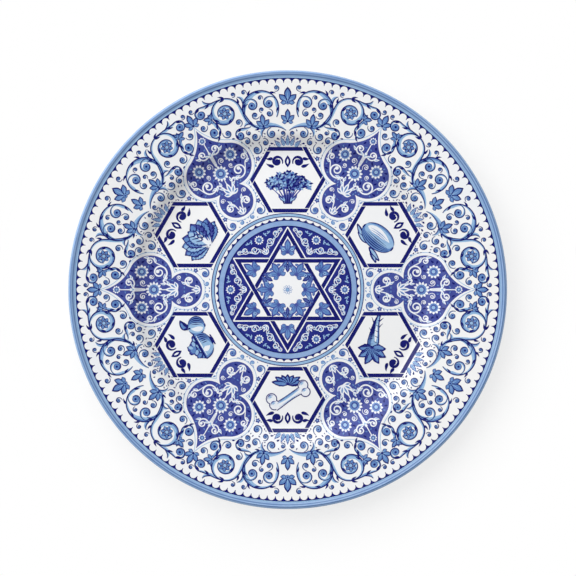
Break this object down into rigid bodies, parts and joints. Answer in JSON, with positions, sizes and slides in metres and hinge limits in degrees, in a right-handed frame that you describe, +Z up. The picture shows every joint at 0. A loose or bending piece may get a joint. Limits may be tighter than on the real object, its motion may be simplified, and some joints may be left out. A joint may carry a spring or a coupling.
{
  "type": "seder plate",
  "caption": "Round rimmed ceremonial plate of glazed earthenware with a blue print: star medallion, ring of hexagonal food panels, scroll rim and toothed edge.",
  "frame": {"origin": "on the table, under the centre of the plate", "axes": "+Z up along the plate's axis, +Y towards the food panel at the top, +X to the right of it"},
  "size_m": [0.33, 0.33, 0.0246],
  "materials": {
    "biscuit": "unglazed, fine matt",
    "clear_glaze": "clear gloss glaze over a warm white body",
    "pale_blue": "gloss, pale blue",
    "cobalt": "gloss, cobalt blue",
    "navy": "gloss, dark blue line colour"
  },
  "bodies": {
    "root": {"back_glaze": "clear_glaze", "biscuit_body": "biscuit", "cobalt_field_1": "cobalt", "cobalt_field_2": "cobalt", "cobalt_field_3": "cobalt", "cobalt_field_4": "cobalt", "cobalt_field_5": "cobalt", "cobalt_field_6": "cobalt", "edge_band": "pale_blue", "face_glaze": "clear_glaze", "foot_well_glaze": "clear_glaze", "medallion_ground": "cobalt", "medallion_outer_line": "pale_blue", "medallion_ring": "pale_blue", "medallion_tooth_line": "navy", "panel_frame_1": "navy", "panel_frame_2": "navy", "panel_frame_3": "navy", "panel_frame_4": "navy", "panel_frame_5": "navy", "panel_frame_6": "navy", "rim_tooth_line": "navy", "star_triangle_down": "navy", "star_triangle_up": "navy"}
  },
  "joints": []
}
